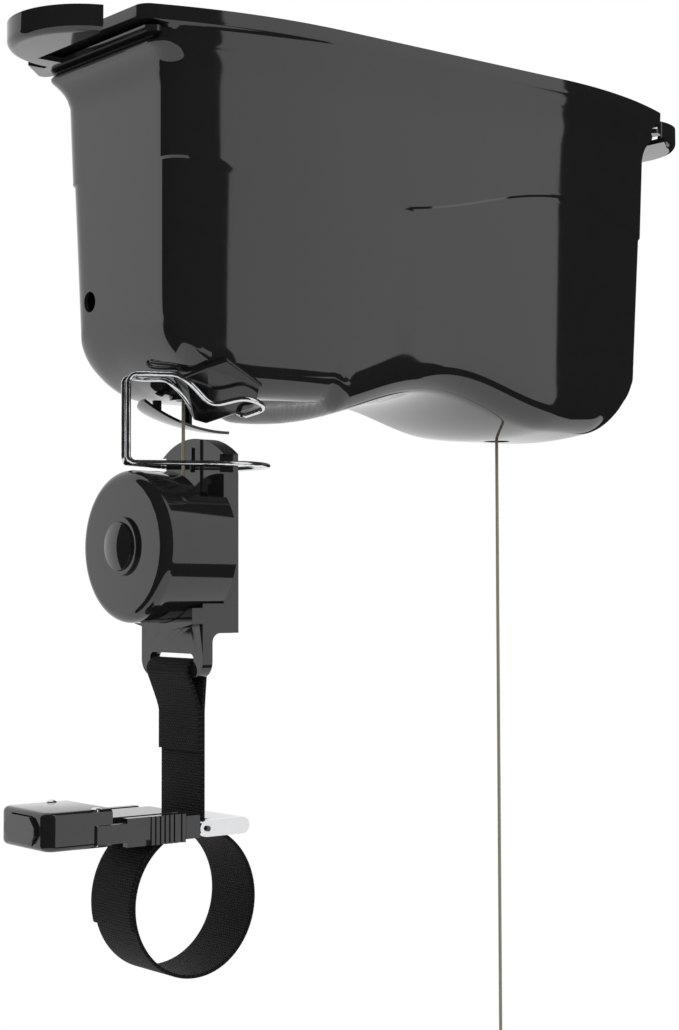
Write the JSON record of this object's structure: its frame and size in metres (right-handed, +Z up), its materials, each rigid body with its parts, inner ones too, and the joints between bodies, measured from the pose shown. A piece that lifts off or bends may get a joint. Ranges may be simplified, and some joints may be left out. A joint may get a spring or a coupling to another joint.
{
  "type": "bike ceiling hoist",
  "caption": "Ceiling-mounted housing with a spring-balanced cable drum; one cable carries a hanger with a webbing handlebar loop and buckle, the other a sleeved saddle hook.",
  "frame": {"origin": "Centre of the ceiling plane, midway between the four ceiling screw holes.", "axes": "+X along the housing to the saddle hook's end, -Y to the front wall, +Z up into the ceiling."},
  "size_m": [0.4986, 0.1552, 0.671],
  "materials": {
    "housing_black": "glossy moulded black",
    "inner_black": "satin moulded black",
    "chrome": "polished chromed steel",
    "steel": "zinc plated steel",
    "brass": "plain brass",
    "cable": "stranded cable with a clear coat",
    "webbing": "ribbed polyester webbing",
    "sleeve": "soft rubber"
  },
  "bodies": {
    "housing": {"housing_shell": "housing_black", "shell_screws": "steel", "ear_left": "housing_black", "ear_right": "housing_black", "chassis_plate": "steel", "bracket_front": "steel", "bracket_back": "steel", "shaft_bush_front": "brass", "shaft_bush_back": "brass", "pawl_pin": "steel", "spring_case": "inner_black", "spring_case_cover": "inner_black", "mainspring": "steel", "pulley_yoke": "steel", "guide_pulley_pin": "steel", "grommet_left": "inner_black", "grommet_right": "inner_black", "cable_run_left": "cable", "cable_run_right": "cable", "claws": "inner_black", "cable_guard": "inner_black", "guide_wire": "chrome"},
    "drum": {"main_shaft": "steel", "cable_drum": "inner_black", "cable_windings": "cable", "ratchet_wheel": "steel", "spring_arbor": "inner_black"},
    "pulley": {"guide_pulley": "inner_black"},
    "pawl": {"pawl": "steel"},
    "hanger": {"left_cable": "cable", "hanger_plate": "housing_black", "spool_cover": "housing_black", "cover_screws": "steel", "spool_axle": "steel", "entry_bush": "inner_black", "bezel": "housing_black", "button_spring": "steel", "upper_strap": "webbing", "handlebar_loop": "webbing", "buckle_body": "housing_black", "thumb_spring": "steel", "arm_pins": "chrome", "buckle_tongue": "housing_black"},
    "spool": {"cable_spool": "inner_black", "spool_winding": "cable"},
    "button": {"push_button": "housing_black"},
    "thumb": {"thumb_button": "housing_black"},
    "arm_front": {"release_arm_front": "housing_black"},
    "arm_back": {"release_arm_back": "housing_black"},
    "stirrup": {"chrome_stirrup": "chrome"},
    "hook": {"right_cable": "cable", "hook_ferrule": "steel", "hook_swivel": "chrome"},
    "hook_turn": {"saddle_hook": "steel", "hook_sleeve": "sleeve"}
  },
  "joints": [
    {"name": "hanger_drop", "type": "slide", "parent": "housing", "child": "hanger", "axis": [0, 0, -1], "range_m": [0, 1.9], "deforming": ["left_cable"]},
    {"name": "hook_drop", "type": "slide", "parent": "housing", "child": "hook", "axis": [0, 0, -1], "range_m": [0, 1.9], "deforming": ["right_cable"]},
    {"name": "drum_spin", "type": "hinge", "parent": "housing", "child": "drum", "pos_m": [0.0503, 0, -0.09], "axis": [0, 1, 0], "range_deg": [0, 1980]},
    {"name": "pulley_spin", "type": "hinge", "parent": "housing", "child": "pulley", "pos_m": [-0.118, 0, -0.163], "axis": [0, -1, 0], "range_deg": [0, 6050]},
    {"name": "pawl_swing", "type": "hinge", "parent": "housing", "child": "pawl", "pos_m": [0.0003, -0.017, -0.064], "axis": [0, 1, 0], "range_deg": [-14, 20]},
    {"name": "spool_spin", "type": "hinge", "parent": "hanger", "child": "spool", "pos_m": [-0.136, 0, -0.2793], "axis": [1, 0, 0], "continuous": true},
    {"name": "button_press", "type": "slide", "parent": "hanger", "child": "button", "axis": [1, 0, 0], "range_m": [0, 0.0025], "stiffness_N_per_m": 400, "springref_m": -0.002, "deforming": ["button_spring"]},
    {"name": "thumb_press", "type": "slide", "parent": "hanger", "child": "thumb", "axis": [1, 0, 0], "range_m": [0, 0.0016], "stiffness_N_per_m": 500, "springref_m": -0.001, "deforming": ["thumb_spring"]},
    {"name": "arm_front_open", "type": "hinge", "parent": "hanger", "child": "arm_front", "pos_m": [-0.2065, -0.022, -0.429], "axis": [0, 0, -1], "range_deg": [0, 5], "stiffness_Nm_per_rad": 0.05},
    {"name": "arm_back_open", "type": "hinge", "parent": "hanger", "child": "arm_back", "pos_m": [-0.2065, 0.022, -0.429], "axis": [0, 0, 1], "range_deg": [0, 5], "stiffness_Nm_per_rad": 0.05},
    {"name": "stirrup_swing", "type": "hinge", "parent": "hanger", "child": "stirrup", "pos_m": [-0.1367, 0, -0.4306], "axis": [0, 1, 0], "range_deg": [-65, 7]},
    {"name": "hook_swivel_turn", "type": "hinge", "parent": "hook", "child": "hook_turn", "pos_m": [0.1053, 0, -0.603], "axis": [0, 0, 1], "continuous": true}
  ],
  "couplings": [
    {"joint": "drum_spin", "follows": "hanger_drop", "rad_per_m": 18.182},
    {"joint": "pulley_spin", "follows": "hanger_drop", "rad_per_m": 55.556},
    {"joint": "hook_drop", "follows": "hanger_drop", "ratio": 1}
  ]
}
